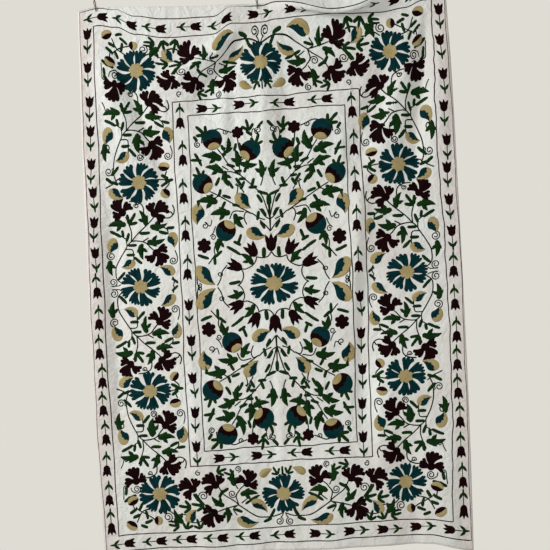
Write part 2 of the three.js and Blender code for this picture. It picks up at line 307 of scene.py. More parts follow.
def fan(thread, centre, angle, spread, inner, outer, fingers, swirl, notch, shrink, rows):
    """One petal with rounded fingers. Its radius at the rim dips by `notch` between two fingers, its width
    shrinks half way out, and its angle turns by `swirl` degrees times the square of the distance."""
    step = (1 - np.cos(np.pi * np.linspace(0, 1, 7)[:-1])) / 2
    share = np.append((np.arange(fingers)[:, None] + step).ravel(), fingers) / fingers
    within = (share * fingers) % 1.0
    round_top = np.sqrt(1 - (2 * within - 1) ** 2)
    t = np.linspace(0, 1, rows)[:, None] ** 0.8
    edge = outer * (1 - notch * (1 - round_top)) * (1 - 0.06 * (2 * share - 1) ** 2)
    radius = inner + (edge - inner) * t
    narrowed = spread * (share - 0.5) * (1 - shrink * np.sin(np.pi * t**1.3))
    theta = np.radians(angle + narrowed + swirl * t**2)
    spots = np.array(centre, float) + np.stack([radius * np.cos(theta), radius * np.sin(theta)], axis=-1)
    side = np.sqrt(np.maximum(0.0, 1 - (2 * share - 1) ** 8))
    dome = side * (0.55 + 0.45 * round_top * np.ones_like(t)) * (1 - t**6)
    rows_of_stitch = np.stack([radius, radius * (theta - theta.mean())], axis=-1)
    return [(thread, spots, RIM + (THREAD_HEIGHT - RIM) * dome, rows_of_stitch)]


def disc(thread, centre, radius, scallops=0, depth=0.0, start=0.0, count=9, height=1.0, foot=RIM):
    """A round patch: a square grid drawn in to a circle, each coordinate shortened by half the square of
    the other, with a rim that dips by `depth` between its scallops."""
    q = -np.cos(np.pi * np.linspace(0, 1, count))
    x, y = np.meshgrid(q, q, indexing="ij")
    x, y = x * np.sqrt(1 - y**2 / 2), y * np.sqrt(1 - x**2 / 2)
    distance, angle = np.hypot(x, y), np.arctan2(y, x)
    dip = np.ones_like(x)
    if scallops:
        dip = 1 - depth * (1 - np.abs(np.sin(scallops * angle / 2 + start)) ** 0.6)
    spots = np.array(centre, float) + np.stack([x * dip, y * dip], axis=-1) * radius
    dome = np.sqrt(np.maximum(0.0, 1 - distance**4))
    rows_of_stitch = np.stack([angle * radius * 0.6, distance * radius], axis=-1)
    return [(thread, spots, foot + (height - foot) * dome, rows_of_stitch)]


def through(places, spacing=7.0):
    """A smooth curve through the places: each stretch is the usual cubic that leaves and reaches its ends
    in the direction of their neighbours."""
    p = np.array(places, float)
    p = np.vstack([2 * p[0] - p[1], p, 2 * p[-1] - p[-2]])
    stretches = []
    for a, b, c, d in zip(p[:-3], p[1:-2], p[2:-1], p[3:]):
        count = max(2, int(np.ceil(np.linalg.norm(c - b) / spacing)))
        t = np.arange(count)[:, None] / count
        bend = (2 * a - 5 * b + 4 * c - d) * t**2 + (3 * b - a - 3 * c + d) * t**3
        stretches.append(b + ((c - a) * t + bend) / 2)
    return np.vstack(stretches + [p[-2:-1]])


def line(thread, places, width=3.4, height=0.55, spacing=7.0, smoothed=True):
    """A narrow ribbon of one or two rows of stitches along a curve."""
    path = through(places, spacing) if smoothed else np.array(places, float)
    slope = np.gradient(path, axis=0)
    aside = turned(slope) / np.linalg.norm(slope, axis=1, keepdims=True)
    q = np.array([-1.0, 0.0, 1.0])
    spots = path[:, None] + aside[:, None] * (q * width / 2)[None, :, None]
    dome = np.broadcast_to(np.sqrt(1 - q**2), spots.shape[:2])
    run = np.concatenate([[0], np.cumsum(np.linalg.norm(np.diff(path, axis=0), axis=1))])
    rows_of_stitch = np.stack(np.broadcast_arrays(run[:, None], q * width / 2), axis=-1)
    return [(thread, spots, RIM + (height - RIM) * dome, rows_of_stitch)]


# %% [markdown]
# The same few motifs come back all over the cloth: a stick leaf, a leaf with three lobes, a bud in two
# colours, a carnation, a bell flower, a curl. Each is a short function of where it sits and points.
# Angles count from outwards, 90 is towards the end of the cloth and 270 towards its middle.

# %% Motifs
LEAF_GROWTH = 1.3
SMALL_LEAF = 46.0
STICK_GROWTH = 1.1


def stick(a, d, angle, length=36.0, width=13.5):
    """A blunt narrow leaf round its middle."""
    middle, reach = np.array([a, d], float), heading(angle) * length * STICK_GROWTH / 2
    return lobe("green", middle - reach, middle + reach, width, "stick", bow=0.03)


def crown(base, angle, size):
    """Three blunt fingers from one base."""
    shapes = []
    for turn, reach in ((0, 0.95), (46, 0.7), (-44, 0.68)):
        tip = base + heading(angle + turn) * size * reach
        shapes += lobe("green", base, tip, size * 0.26, "stick", bow=0.04, rows=8)
    return shapes


def three_leaf(a, d, angle, size=54.0):
    """A pointed leaf with a shorter lobe on each side. The small ones are crowns."""
    along = heading(angle)
    full = size * LEAF_GROWTH
    base = np.array([a, d]) - along * full * 0.45
    if size < SMALL_LEAF:
        return crown(base, angle, full)
    fork = base + along * full * 0.24
    shapes = lobe("green", base, base + along * full, full * 0.4, "blade", bow=0.13, rows=10)
    for turn, reach in ((48, 0.48), (-44, 0.42)):
        tip = fork + heading(angle + turn) * full * reach
        shapes += lobe("green", fork, tip, full * 0.24, "leaf", bow=0.1, rows=7, height=0.8)
    return shapes


def serrated(start, end, teeth, size, lift):
    """The border between two colours: a zigzag that moves steadily from one side to the other."""

    def border(t):
        zigzag = 2 * np.abs((t * teeth) % 1 - 0.5) - 0.5
        return start + (end - start) * t**0.7 + lift * np.sin(np.pi * t) + size * zigzag

    return border


BUD_GROWTH = 1.14


def bud(a, d, tip, straw_towards, length=66.0, width=38.0, bow=0.16):
    """A straw drop with a bent tip. A teal patch with a serrated edge lies over the inner side of it."""
    middle, tip = np.array([a, d], float), np.array(tip, float)
    along = (tip - middle) / np.linalg.norm(tip - middle)
    base = tip - along * length
    straw_side = 1.0 if turned(along) @ heading(straw_towards) > 0 else -1.0
    width = width * BUD_GROWTH
    shapes = lobe("straw", base, tip, width, "drop", bow * straw_side, rows=13, columns=5)
    low = base + along * length * 0.12 - turned(along) * straw_side * width * 0.16
    high = base + along * length * 0.97
    teeth = serrated(0.3, 0.1, 4, 0.4, 0.15)
    sides = (-1.0, teeth) if straw_side > 0 else (lambda t: -teeth(t), 1.0)
    teal = lobe("teal", low, high, width * 0.84, "drop", bow * straw_side, sides, 17, 4, 1.3, OVERLAY)
    return shapes + teal


ACORN_LENGTH = 35.0


def acorn_edge(t):
    """Where the straw side starts: past the middle line half way along, and before it at both ends."""
    return -0.3 + 0.35 * np.sin(np.pi * t)


def acorn(a, d, angle, width=40.0):
    """An oval split along its longer way, straw on the side it points to and maroon on the other."""
    middle = np.array([a, d], float)
    across = -turned(heading(angle)) * width / 2
    ends = (middle - across, middle + across)
    shapes = lobe("maroon", *ends, ACORN_LENGTH, "round", 0.0, (-1.0, 0.3), 11, 5)
    ends = (middle - across * 0.96, middle + across * 0.96)
    straw = lobe("straw", *ends, ACORN_LENGTH, "round", 0.0, (acorn_edge, 1.0), 11, 5, 1.2, OVERLAY)
    return shapes + straw


CARNATION_FANS = [
    # columns: turn, spread, inner radius, outer radius as a share of the size, fingers, swirl, notch, shrink
    (0, 76, 5, 0.72, 4, 16, 0.15, 0.05),
    (76, 62, 4, 0.57, 3, 16, 0.16, 0.0),
    (-74, 64, 4, 0.55, 3, 12, 0.16, 0.0),
]


def carnation(a, d, angle, size=88.0):
    """Three fans from one base, four fingers in the middle and three at each side, and a round foot."""
    along = heading(angle)
    base = np.array([a, d]) - along * size * 0.24
    shapes = []
    for turn, spread, inner, share, fingers, *bends in CARNATION_FANS:
        shapes += fan("maroon", base, angle + turn, spread, inner, size * share, fingers, *bends, rows=8)
    return shapes + lobe("maroon", base - along * 13, base + along * 20, 34, "round", rows=7)


def bell(base, angle, length=66.0, width=50.0):
    """A round cup that opens in three pointed petals."""
    base, along = np.array(base, float), heading(angle)
    shapes = lobe("maroon", base, base + along * length * 0.74, width * 0.78, "round", rows=9, columns=5)
    for share in (-1, 0, 1):
        foot = base + along * length * 0.25 + turned(along) * share * width * 0.2
        tip = base + along * length * (1.0 - 0.08 * abs(share)) + turned(along) * share * width * 0.46
        shapes += lobe("maroon", foot, tip, width * 0.36, "leaf", bow=-0.06 * share, rows=8, height=0.85)
    return shapes


POMEGRANATE_RADIUS = 40.5


def scalloped(t):
    """Edge of the maroon band: a low arch with three and a half scallops."""
    return 0.02 - 0.3 * (2 * t - 1) ** 2 + 0.16 * np.abs(np.sin(3.5 * np.pi * t))


def pomegranate(a, d, angle):
    """A teal ball, with a scalloped maroon band and a straw cap on the side it points to."""
    middle, along, radius = np.array([a, d], float), heading(angle), POMEGRANATE_RADIUS
    side = turned(along) * radius
    shapes = disc("teal", middle, radius, height=0.9)
    band = (middle - side, middle + side, 2.04 * radius)
    shapes += lobe("maroon", *band, "round", 0.0, (-1.0, scalloped), 21, 5, 1.3, OVERLAY)
    cap = middle + along * radius * 0.8
    across = turned(along) * radius * 0.6
    width = radius * 0.96
    straw = lobe("straw", cap - across, cap + across, width, "round", 0.0, (-0.42, 1.0), 11, 5, 1.6, 1.3)
    return shapes + straw


CURL_GROWTH = 1.12


def curl(a, d, radius, start, turns=1.6, hand=1, tail=()):
    """A spiral line that closes in to a quarter of its radius, with a tail that leads to it."""
    t = np.linspace(0, 1, int(12 * turns) + 1)
    theta = np.radians(start) + hand * 2 * np.pi * turns * t
    reach = (radius * CURL_GROWTH * (1 - 0.78 * t))[:, None]
    spiral = np.array([a, d]) + reach * np.stack([np.cos(theta), np.sin(theta)], -1)
    return line("dark", [*tail, *spiral], width=4.8, spacing=6.0)


def stem(*places):
    return line("dark", places, width=5.6)


MOTIFS = {
    "three_leaf": three_leaf, "stick": stick, "carnation": carnation, "acorn": acorn,
    "pomegranate": pomegranate, "bud": bud, "stem": stem, "curl": curl,
}


def draw(tables):
    """Every motif in a set of tables, one for each row."""
    shapes = []
    for name, motif in MOTIFS.items():
        for row in tables.get(name, ()):
            shapes += motif(*row)
    return shapes


def rosette(centre, size=168.0, start=12.0, stretch=(1.0, 0.92)):
    """Eight fans of three or four fingers round a scalloped core, no two quite alike."""
    centre = np.array(centre, float)
    swirl = chance.choice([-1, 1]) * 11
    shapes = []
    for petal in range(8):
        fingers = chance.choice([3, 3, 4])
        spread = 45 * chance.uniform(0.88, 0.96)
        outer = size / 2 * chance.uniform(0.95, 1.04)
        angle = start + 45 * petal + chance.normal(0, 1.6)
        turn = swirl * chance.uniform(0.3, 1.4)
        shapes += fan("teal", centre, angle, spread, 15, outer, fingers, turn, 0.15, 0.16, rows=9)
    shapes += disc("straw", centre, size * 0.175, 7, 0.3, start, count=15, height=1.3, foot=OVERLAY)
    for _, spots, _, _ in shapes:
        spots -= centre
        spots *= np.array(stretch)
        spots += centre
    return shapes


# %% [markdown]
# The wide band has a unit between two large rosettes at each side, and the unit comes twice along a quarter.
# Each table below is read off the cloth. Its first two columns are the place: across from the
# middle line, and from the rosette towards the end.

# %% The unit of the wide side band
UNIT = 408.0
ROUND_UNIT = {
    # columns: across, along, angle, size
    "three_leaf": [
        (502, 150, 270, 52), (452, 188, 180, 54), (440, 245, 180, 52), (497, 273, 70, 50),
        (600, 252, 0, 58), (541, 277, 128, 42),
    ],
    # columns: across, along, angle, length
    "stick": [
        (596, 50, 135, 42), (522, 112, 225, 40), (552, 137, 180, 34), (612, 221, 27, 50),
        (582, 222, 80, 26), (543, 176, 180, 34), (492, 220, 180, 40), (562, 207, 110, 34),
        (622, 424, 35, 34), (597, 414, 20, 28), (420, 213, 205, 34), (392, 226, 185, 30),
    ],
    # columns: across, along, angle, size
    "carnation": [(437, 125, 225, 88), (437, 302, 135, 86)],
    # columns: across, along, where the tip is, side of the straw, length, width
    "bud": [
        (565, 102, (594, 86), 235, 60, 33), (617, 180, (637, 144), 20, 62, 40),
        (392, 182, (380, 146), 170, 60, 34),
    ],
    # the places that each stem goes through
    "stem": [
        [(540, 112), (540, 140), (545, 158), (572, 160)],
        [(566, 172), (547, 190), (520, 191), (490, 182), (470, 160), (455, 145)],
        [(547, 190), (520, 218), (475, 255), (450, 280)],
        [(547, 190), (545, 225), (555, 258), (566, 285)], [(500, 188), (478, 200)],
        [(475, 255), (490, 268), (492, 320), (515, 338), (545, 342)],
        [(402, 202), (405, 222), (430, 240)], [(590, 215), (575, 205), (566, 200)],
        [(413, 267), (396, 264), (380, 273), (374, 290), (379, 311)],
        [(380, 273), (389, 286), (396, 282)],
    ],
    # columns: across, along, radius, start, turns, hand, tail
    "curl": [
        (633, 135, 16, 60, 1.6, -1, [(641, 165), (640, 150)]),
        (387, 96, 14, 180, 1.6, 1, [(378, 136), (371, 114)]),
        (517, 325, 9, 20, 1.2, -1, [(500, 340), (508, 330)]),
    ],
}
# what only the unit next to the middle row has, and what only the one after it has
FIRST_UNIT = {
    "three_leaf": [(634, 88, 268, 50)],
    "carnation": [(590, 315, 45, 88)],
    "bud": [(605, 385, (566, 356), 300, 66, 38)],
    "stem": [
        [(595, 17), (617, 40), (616, 85), (598, 120), (572, 160), (566, 172), (566, 200), (560, 218)],
    ],
}
SECOND_UNIT = {
    "three_leaf": [(634, 120, 268, 50)],
    "carnation": [(581, 336, 272, 88)],
    "stem": [
        [(590, 8), (601, 40), (600, 85), (590, 122), (572, 160), (566, 172), (566, 200), (560, 218)],
    ],
    "curl": [
        (579, 386, 14, 90, 1.6, 1, [(604, 378), (599, 394)]),
        (625, 378, 8, 0, 1.2, -1, [(638, 425), (635, 398)]),
        (619, 269, 8, 0, 1.2, -1, [(640, 300), (632, 284)]),
    ],
}


def side_unit(own, along):
    """Everything between two rosettes of the side band, shifted by `along` towards the end."""
    shapes = draw(ROUND_UNIT) + draw(own)
    for _, spots, _, _ in shapes:
        spots[..., 1] += along
    return shapes


def middle_of_side():
    """One half of what lies round the rosette of the middle row: a curl, a short stem, a leaf and a bud."""
    shapes = curl(632, 24, 16, 300, hand=-1, tail=[(600, 14), (615, 8)])
    shapes += stem((392, 0), (388, 16), (394, 32)) + stick(386, 14, 40, 30, 11)
    return shapes + bud(417, 57, (443, 78), 180, length=66, width=34)


def between_units():
    """Round the second rosette: two acorns with a crossing stem, leaves, two curls and a bud."""
    shapes = acorn(402, 358, 325) + acorn(402, 463, 100, width=44)
    shapes += stem((402, 376), (386, 392), (386, 408), (398, 425), (392, 445))
    shapes += stick(402, 396, 150, 30) + stick(384, 408, 175, 30) + stick(400, 424, 215, 30)
    shapes += curl(623, 457, 15, 150, hand=1, tail=[(601, 468)])
    shapes += stem((440, 415), (420, 416), (392, 410)) + stem((582, 430), (608, 412), (640, 398))
    shapes += curl(492, 502, 12, 180, tail=[(482, 560), (478, 530), (482, 505)])
    return shapes + three_leaf(495, 552, 270, 52) + bud(395, 582, (380, 552), 170, length=54)


# %% The corner and the wide band along the end
END_BAND = {
    # columns: across, along, angle, size
    "three_leaf": [
        (415, 908, 300, 50), (382, 940, 250, 34), (340, 940, 290, 34), (390, 870, 350, 40),
        (340, 865, 350, 40), (260, 857, 320, 48), (232, 910, 90, 48), (192, 770, 270, 50),
        (140, 836, 180, 56), (240, 737, 200, 34), (212, 750, 340, 34), (438, 940, 350, 36),
        (24, 750, 300, 30),
    ],
    # columns: across, along, angle, length
    "stick": [
        (602, 880, 30, 34), (570, 865, 60, 32), (590, 900, 20, 32), (547, 897, 100, 34), (540, 922, 20, 34),
        (345, 837, 120, 34), (250, 828, 60, 32), (232, 815, 30, 30), (47, 915, 60, 36), (67, 940, 20, 34),
        (125, 857, 207, 64), (185, 897, 160, 34), (560, 940, 340, 30), (625, 800, 80, 32),
        (300, 895, 140, 30),
    ],
    # columns: across, along, angle, size
    "carnation": [(367, 790, 315, 86), (295, 912, 40, 88), (277, 777, 300, 86), (132, 777, 235, 86)],
    # columns: across, along, angle, width
    "acorn": [(600, 840, 295, 50), (612, 935, 60, 50), (500, 920, 175, 36)],
    # columns: across, along, where the tip is, side of the straw, length, width
    "bud": [
        (362, 910, (346, 884), 20, 60, 34), (100, 888, (67, 912), 270, 80, 31),
        (150, 934, (102, 946), 90, 90, 34),
    ],
    # the places that each stem goes through
    "stem": [
        [(520, 870), (565, 885), (590, 925)], [(565, 885), (530, 905), (512, 918)],
        [(590, 865), (580, 877), (566, 884)], [(345, 820), (328, 848), (312, 870), (300, 895)],
        [(257, 800), (240, 830), (225, 842), (195, 862), (182, 875)],
        [(150, 795), (168, 808), (176, 818), (190, 840), (182, 875)],
        [(265, 897), (225, 885), (182, 875)], [(2, 915), (35, 927), (75, 929), (115, 920), (182, 875)],
        [(190, 915), (205, 890), (190, 878)], [(0, 735), (0, 768)], [(430, 940), (440, 925), (460, 925)],
        [(382, 905), (400, 900), (430, 900), (455, 880)], [(330, 930), (350, 935), (385, 930)],
        [(192, 790), (180, 812)], [(145, 850), (170, 868)], [(600, 858), (596, 880)],
    ],
    # columns: across, along, radius, start, turns, hand, tail
    "curl": [
        (460, 908, 17, 90, 1.6, 1, [(438, 930), (450, 927)]), (317, 832, 16, 0, 1.6, -1, []),
        (205, 830, 15, 180, 1.6, -1, []), (175, 732, 12, 90, 1.6, 1, []), (330, 740, 10, 270, 1.2, 1, []),
        (20, 948, 14, 250, 1.6, -1, [(4, 918), (10, 930)]),
    ],
}


def end_band():
    return draw(END_BAND) + lobe("straw", (86, 770), (36, 742), 34, "drop", bow=0.08, rows=11)


# %% The middle field
FIELD = {
    # columns: across, along, angle, size
    "three_leaf": [
        (197, 166, 290, 50), (190, 282, 0, 62), (120, 256, 240, 52), (205, 455, 20, 58), (158, 423, 260, 50),
        (72, 472, 190, 52), (119, 494, 82, 56), (213, 503, 14, 64), (160, 542, 106, 60), (272, 448, 70, 40),
        (38, 562, 110, 40), (258, 612, 45, 44), (27, 443, 84, 56), (72, 622, 80, 38), (240, 330, 4, 64),
        (97, 98, 48, 50),
    ],
    # columns: across, along, angle, length
    "stick": [
        (268, 122, 200, 46), (224, 106, 90, 36), (205, 130, 320, 34), (282, 320, 100, 30), (30, 228, 60, 32),
        (25, 276, 60, 34), (47, 266, 100, 34), (127, 312, 10, 34), (165, 348, 20, 34), (192, 365, 110, 30),
        (120, 183, 110, 36), (130, 166, 30, 32), (145, 138, 35, 62), (60, 395, 110, 34), (24, 353, 200, 40),
        (115, 403, 60, 34), (147, 395, 60, 38), (140, 470, 200, 34), (100, 388, 120, 34), (60, 377, 180, 32),
        (197, 410, 120, 36), (122, 542, 105, 30), (103, 542, 75, 30), (278, 497, 5, 42), (271, 500, 62, 56),
        (280, 582, 55, 26), (22, 620, 132, 32), (0, 325, 90, 40), (38, 330, 60, 36), (66, 590, 40, 28),
        (98, 412, 5, 26), (112, 445, 178, 28), (84, 450, 110, 28), (232, 352, 330, 30), (178, 318, 300, 28),
    ],
    # columns: across, along, angle
    "pomegranate": [(174, 218, 124), (258, 406, 221), (212, 578, 259), (62, 523, 319)],
    # columns: across, along, where the tip is, side of the straw, length, width
    "bud": [
        (276, 288, (288, 246), 0, 76, 46), (65, 210, (18, 184), 270, 76, 42),
        (100, 338, (72, 296), 0, 78, 44), (258, 48, (228, 8), 0, 100, 50),
    ],
    # the places that each stem goes through
    "stem": [
        [(0, 124), (14, 106), (32, 101), (48, 103), (58, 107)],
        [(58, 107), (64, 88), (80, 72), (105, 62), (122, 66)],
        [(122, 66), (114, 46), (117, 24), (128, 6), (139, -2)],
        [(220, 4), (205, 30), (198, 58), (175, 84)], [(220, 128), (236, 108), (250, 92)],
        [(220, 128), (222, 150), (206, 190)], [(0, 203), (0, 248), (0, 333)],
        [(0, 203), (18, 226), (40, 248)], [(0, 248), (20, 262), (40, 292)],
        [(70, 275), (110, 300), (157, 330), (197, 355), (230, 373)], [(20, 248), (45, 258), (70, 278)],
        [(70, 275), (92, 283), (100, 262), (90, 235)], [(157, 262), (140, 290), (100, 286)],
        [(0, 248), (17, 308), (35, 353), (90, 413), (147, 473), (175, 518)],
        [(105, 428), (140, 445), (180, 443)], [(105, 428), (104, 473), (85, 498)],
        [(87, 505), (104, 530), (112, 580)], [(175, 518), (192, 540)], [(30, 380), (22, 400), (18, 420)],
        [(197, 355), (215, 345), (240, 340)], [(125, 350), (118, 380), (122, 398)],
        [(175, 470), (150, 452)], [(95, 358), (112, 385), (128, 392)],
        [(276, 318), (284, 338), (255, 340)], [(292, -10), (300, 20), (297, 55), (284, 78)],
        [(208, 612), (185, 618), (161, 610), (134, 600)], [(255, 565), (252, 610)],
    ],
    # columns: across, along, radius, start, turns, hand, tail
    "curl": [
        (206, 50, 9, 200, 1.2, 1, [(198, 58)]), (225, 196, 11, 20, 1.3, 1, [(214, 238), (224, 214)]),
        (257, 242, 12, 90, 1.2, 1, [(228, 264), (236, 240)]), (272, 560, 12, 90, 1.6, -1, []),
        (292, 6, 9, 90, 1.2, 1, []), (286, 28, 7, 0, 1.1, 1, []),
        (31, 598, 13, 270, 1.6, 1, [(52, 560), (56, 585), (48, 606)]), (160, 604, 9, 180, 1.2, 1, []),
    ],
}


def field():
    shapes = draw(FIELD)
    shapes += bell((60, 108), 62) + bell((118, 64), 28)
    shapes += disc("maroon", (262, 165), 30, 6, 0.34, count=13)
    shapes += disc("maroon", (110, 598), 25, 6, 0.32, 0.4, count=13)
    return shapes + stick(30, 122, 95, 38, 17)


def on_the_middle_line():
    """The bell above and below the centre rosette, drawn once for each half."""
    return bell((0, 124), 90, length=74, width=54)


quarters = {
    "band": (
        side_unit(FIRST_UNIT, 0) + side_unit(SECOND_UNIT, UNIT)
        + middle_of_side() + between_units() + end_band()
    ),
    "field": field(),
}
print("patches in a quarter:", {name: len(shapes) for name, shapes in quarters.items()})

# %% [markdown]
# The drawn quarter now goes onto the cloth four times. The half above the middle is a little longer,
# so its band is stretched by two short ladders of heights. The maker drew by hand, so each quarter
# also drifts by a few millimetres, and the band bends to where each large rosette really sits.

# %% Place the pattern on the flat cloth
# columns: along the drawn quarter, along the cloth's upper half
SIDE_LADDER = np.array([
    (0, 0), (180, 172), (412, 406), (600, 618), (720, 745), (817, 868), (935, 1005), (968, 1037),
], float)
MIDDLE_LADDER = np.array([(0, 0), (714, 714), (777, 785), (840, 861), (910, 942), (968, 1037)], float)
MIDDLE_BAND = (362.0, 460.0)
FIELD_CENTRE = 18.0
DRIFT = 3.0
FIELD_LEAN = {"across": 11.0, "up": 16.0, "half width": 330, "full height": 600, "half height": 700}

# columns: across and along in the drawn quarter, which side, which end, across and down as seen on the wall
ROSETTES = [
    (485, 817, -1, -1, -491, -836), (0, 840, 1, -1, -6, -845), (485, 817, 1, -1, 500, -862),
    (500, 412, 1, -1, 511, -421), (520, 0, 1, 1, 523, 1), (500, 412, 1, 1, 497, 406),
    (485, 817, 1, 1, 479, 819), (0, 840, 1, 1, -1, 840), (485, 817, -1, 1, -482, 816),
    (500, 412, -1, 1, -500, 414), (520, 0, -1, 1, -517, 6), (500, 412, -1, -1, -503, -400),
]
CENTRE_ROSETTE = (3.0, 19.0)
WARP_REACH = 150.0


def on_cloth(spots, side, end, in_field=False):
    """Flat places of drawn places: mirrored, and stretched by the ladders in the upper half."""
    outward, along = spots[..., 0], spots[..., 1]
    if in_field:
        return np.stack([side * outward, end * along + FIELD_CENTRE], axis=-1)
    if end < 0:
        share = smooth((outward - MIDDLE_BAND[0]) / (MIDDLE_BAND[1] - MIDDLE_BAND[0]))
        middle = np.interp(along, *MIDDLE_LADDER.T)
        along = middle + (np.interp(along, *SIDE_LADDER.T) - middle) * share
    return np.stack([side * outward, end * along], axis=-1)


def lean(flat):
    """The right of the middle field is drawn wider and higher towards the top than a true mirror image."""
    a, d = flat[..., 0], flat[..., 1]
    share = smooth(a / FIELD_LEAN["half width"])
    upper = smooth(-d / FIELD_LEAN["full height"])
    wider = FIELD_LEAN["across"] * share * d / FIELD_LEAN["half height"]
    return flat - np.stack([wider, FIELD_LEAN["up"] * share * upper], axis=-1)


def unhang(seen):
    """Flat places of places seen from the front, found by moving each one by what it misses."""
    flat = np.array(seen, float)
    for _ in range(12):
        x, _, z = hang_flat(flat[:, 0].copy(), flat[:, 1].copy())
        flat += 0.8 * np.stack([seen[:, 0] - x, seen[:, 1] + z], axis=-1)
    return flat


def seen_on_cloth(spots):
    """Flat places of a patch that is drawn as it is seen on the wall."""
    return unhang(spots.reshape(-1, 2)).reshape(spots.shape)


rosette_rows = np.array(ROSETTES, float)
drawn = np.array([on_cloth(np.array(row[:2], float), row[2], row[3]) for row in ROSETTES])
found = unhang(rosette_rows[:, 4:6])
pulls = found - drawn


def warp(flat):
    """Adds the pulls of the rosettes, weighted by bell curves of the distance to each."""
    gap = np.linalg.norm(flat[..., None, :] - drawn, axis=-1)
    weight = np.exp(-((gap / WARP_REACH) ** 2))
    return flat + (weight[..., None] * pulls).sum(-2) / np.maximum(1.0, weight.sum(-1))[..., None]


def drift(flat, seed):
    """A slow wander of the hand: two sine waves each way, with their own phases in each quarter."""
    phase = np.random.default_rng(seed).uniform(0, 2 * np.pi, 4)
    a, d = flat[..., 0], flat[..., 1]
    wander_a = np.sin(a / 61 + phase[0]) + np.sin(d / 47 + phase[1])
    wander_d = np.sin(a / 53 + phase[2]) + np.sin(d / 71 + phase[3])
    return flat + DRIFT / 2 * np.stack([wander_a, wander_d], axis=-1)


stitched = {name: [] for name in ("teal", "maroon", "green", "straw", "dark", "line")}


def sew(shapes, placed):
    """Keeps each patch with its flat places, and turns a mirrored grid round so that it faces forward."""
    for thread, spots, heights, rows_of_stitch in shapes:
        flat = placed(spots)
        along, aside = flat[1:, :-1] - flat[:-1, :-1], flat[:-1, 1:] - flat[:-1, :-1]
        turn = (along[..., 0] * aside[..., 1] - along[..., 1] * aside[..., 0]).sum()
        step = 1 if turn > 0 else -1
        stitched[thread].append((flat[:, ::step], heights[:, ::step], rows_of_stitch[:, ::step]))


for side in (-1, 1):
    for end in (-1, 1):
        seed = 7 + side + 3 * end
        sew(quarters["band"], lambda s: drift(warp(on_cloth(s, side, end)), seed))
        sew(quarters["field"], lambda s: drift(lean(on_cloth(s, side, end, True)), seed))
for end in (-1, 1):
    sew(on_the_middle_line(), lambda s: drift(on_cloth(s, 1, end, True), end + 2))
for side in (-1, 1):
    beside_garland = stick(150, -12, 8, 44, 15) + three_leaf(148, 32, 12, 50)
    sew(beside_garland, lambda s: on_cloth(s, side, 1, True))
LOWER_STRETCH = (1.0, 0.93)
for number, (*_, seen_a, seen_d) in enumerate(ROSETTES):
    stretch = LOWER_STRETCH if seen_d > 0 else (1.0, 1.0)
    sew(rosette((seen_a, seen_d), start=12.0 + 7 * number, stretch=stretch), seen_on_cloth)
sew(rosette(CENTRE_ROSETTE, size=192, start=22.5, stretch=(1.04, 0.88)), seen_on_cloth)
print("patches on the cloth:", {name: len(kept) for name, kept in stitched.items()})

# %% [markdown]
# Two striped frames of small tulips run round the cloth and round the middle field. Their border lines
# were drawn by eye, so they waver by a few millimetres.

# %% The tulip borders and their lines
OUTER_STRIP = {"side": 695.0, "top": -1071.0, "bottom": 998.0}
INNER_STRIP = {"side": 333.0, "end": 685.0}
LEAF_GAP = 50.0
# places along each strip as seen on the wall, with the way the tulips point there
SIDE_TULIPS = [
    (-OUTER_STRIP["side"], (20, 142, 260, 372, 482, 597, 712, 830, 942), 90),
    (-OUTER_STRIP["side"], (-130, -252, -370, -480, -605, -725, -855, -982), 270),
    (OUTER_STRIP["side"], (12, 137, 258, 372, 482, 597, 712, 830, 942), 90),
    (OUTER_STRIP["side"], (-153, -277, -398, -509, -635, -760, -892, -1018), 270),
]
for side in (-1, 1):
    SIDE_TULIPS.append((side * INNER_STRIP["side"], (85, 230, 370, 507, 635), 270))
    SIDE_TULIPS.append((side * INNER_STRIP["side"], (-32, -185, -330, -477, -620), 90))
END_TULIPS = [
    (OUTER_STRIP["top"], (-620, -505, -390, -252, -130), 0),
    (OUTER_STRIP["top"], (-25, 120, 250, 385, 520, 600), 180),
    (OUTER_STRIP["bottom"], (-617, -490, -370, -247, -122, 15), 0),
    (OUTER_STRIP["bottom"], (114, 247, 376, 504, 629), 180),
    (-INNER_STRIP["end"], (98, 245), 0), (-INNER_STRIP["end"], (-98, -245), 180),
    (INNER_STRIP["end"], (98, 245), 0), (INNER_STRIP["end"], (-98, -245), 180),
]


def tulip(place, angle):
    """A small flower with three tips, a stem, and a forked leaf behind it."""
    along = heading(angle)
    base = np.array(place) - along * 22
    shapes = lobe("maroon", base, base + along * 34, 30, "round", rows=8, columns=5)
    for share in (-1, 0, 1):
        foot = base + along * 12 + turned(along) * share * 7
        tip = base + along * (48 - 4 * abs(share)) + turned(along) * share * 18
        shapes += lobe("maroon", foot, tip, 15, "leaf", bow=-0.1 * share, rows=6, height=0.8)
    fork = np.array(place) - along * (LEAF_GAP + 12)
    shapes += line("green", [base + along * 3, np.array(place) - along * 40, fork], width=4.0, spacing=14)
    for turn in (-38, 38):
        shapes += lobe("green", fork - along * 3, fork + heading(angle + turn) * 29, 12, "leaf", rows=6)
    return shapes + lobe("green", fork + along * 6, fork - along * 19, 9, "leaf", rows=6)


def as_drawn(spots):
    return spots


for across, places, angle in SIDE_TULIPS:
    seen = np.array([(across, down) for down in places], float)
    for _, down in unhang(seen):
        spot = (across + chance.normal(0, 1.5), down + chance.normal(0, 2))
        in_field = abs(across) == INNER_STRIP["side"]
        sew(tulip(spot, angle + chance.normal(0, 2)), lean if in_field else as_drawn)
for down, places, angle in END_TULIPS:
    for across in places:
        spot = (across / (1 - END_NARROWING * (down / TOP_OUTER_LINE) ** 2), down + chance.normal(0, 1.5))
        sew(tulip(spot, angle + chance.normal(0, 2)), as_drawn)

